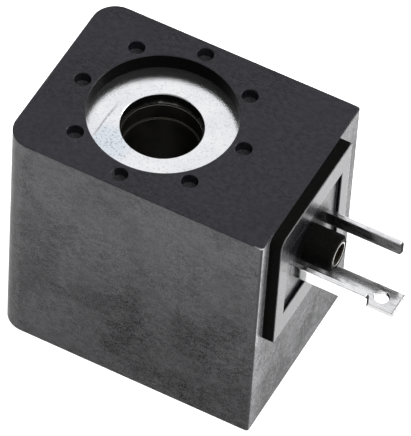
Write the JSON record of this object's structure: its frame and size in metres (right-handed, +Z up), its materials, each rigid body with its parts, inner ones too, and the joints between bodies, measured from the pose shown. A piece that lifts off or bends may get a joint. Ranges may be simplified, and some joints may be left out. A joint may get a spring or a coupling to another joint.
{
  "type": "solenoid valve coil",
  "caption": "Potted solenoid valve coil: black moulded block round a bobbin, winding and steel yoke, with an upright bore and a bladed plug seat on one side.",
  "frame": {"origin": "where the bore's axis meets the base face", "axes": "+Z up along the bore, towards the end with the moulding marks; +X towards the plug seat and its blades; +Y to the line blade's side"},
  "size_m": [0.0417, 0.022, 0.03],
  "materials": {
    "black_resin": "fine moulded, half gloss",
    "zinc_steel": "zinc plated, dull",
    "bobbin_plastic": "moulded",
    "copper_wire": "enamelled copper",
    "yellow_tape": "smooth film",
    "tinned_strip": "bright tin plated",
    "plated_brass": "turned and nickel plated",
    "solder": "reflowed"
  },
  "bodies": {
    "root": {"encapsulation": "black_resin", "yoke_frame": "zinc_steel", "bobbin": "bobbin_plastic", "winding": "copper_wire", "winding_tape": "yellow_tape", "line_terminal": "tinned_strip", "neutral_terminal": "tinned_strip", "earth_terminal": "tinned_strip", "earth_rivet": "zinc_steel", "screw_insert": "plated_brass", "start_lead": "copper_wire", "finish_lead": "copper_wire", "start_solder": "solder", "finish_solder": "solder"}
  },
  "joints": []
}
